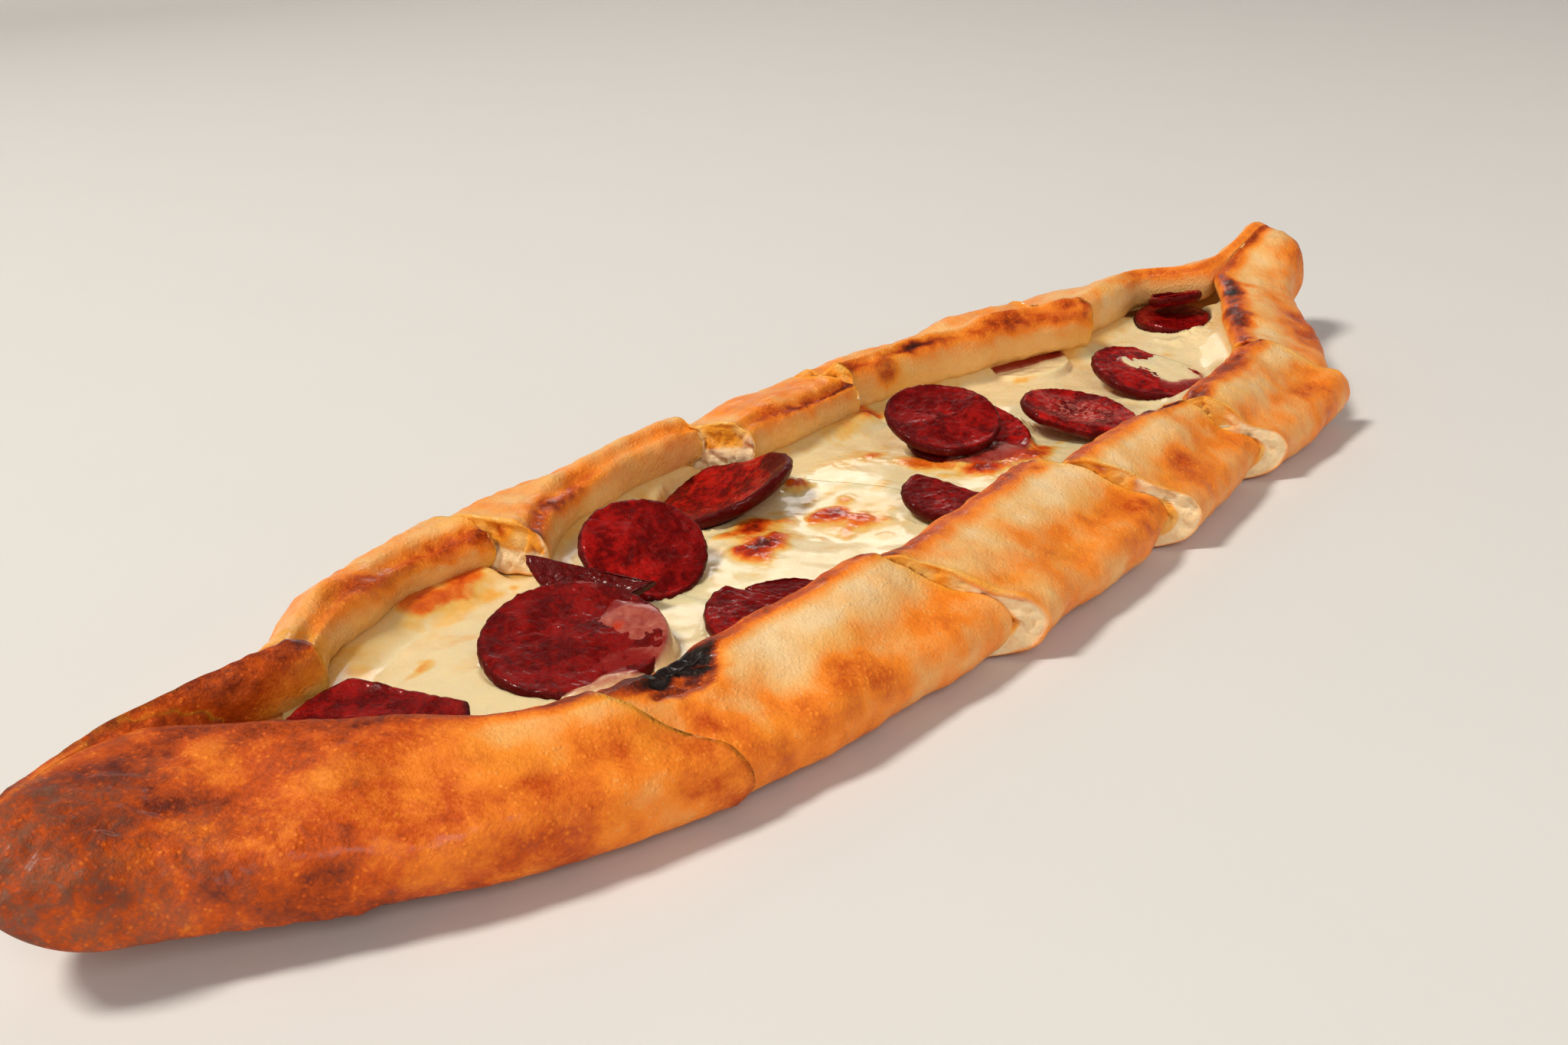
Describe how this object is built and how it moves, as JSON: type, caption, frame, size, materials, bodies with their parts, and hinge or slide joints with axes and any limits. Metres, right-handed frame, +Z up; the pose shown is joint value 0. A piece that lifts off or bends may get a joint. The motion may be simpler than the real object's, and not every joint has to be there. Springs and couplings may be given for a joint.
{
  "type": "turkish pide",
  "caption": "Boat-shaped stuffed flatbread with folded-in edges, cut crosswise into slices, filled with melted cheese and rounds of cured sausage.",
  "frame": {"origin": "on the flat underside, on the middle line, 210 mm from the sharp tip", "axes": "+X along the bread towards its blunt tip, +Y towards the side with the thick rolled edge, +Z up"},
  "size_m": [0.432, 0.1322, 0.037],
  "materials": {
    "crust": "baked flatbread crust, cream to golden orange with scorched spots, lightly oiled",
    "cheese": "melted pale yellow cheese, glossy, with browned blisters",
    "sausage": "dark red cured sausage, greasy, darker at the rim"
  },
  "bodies": {
    "root": {"bread_end_sharp": "crust", "bread_slice_1": "crust", "bread_slice_2": "crust", "bread_slice_3": "crust", "bread_slice_4": "crust", "bread_end_blunt": "crust", "cheese_end_sharp": "cheese", "cheese_slice_1": "cheese", "cheese_slice_2": "cheese", "cheese_slice_3": "cheese", "cheese_slice_4": "cheese", "cheese_end_blunt": "cheese", "sausage_01": "sausage", "sausage_02": "sausage", "sausage_03": "sausage", "sausage_04": "sausage", "sausage_05": "sausage", "sausage_06": "sausage", "sausage_07": "sausage", "sausage_08": "sausage", "sausage_09": "sausage", "sausage_10": "sausage", "sausage_11": "sausage", "sausage_12": "sausage", "sausage_13": "sausage", "sausage_14": "sausage", "sausage_15": "sausage"}
  },
  "joints": []
}
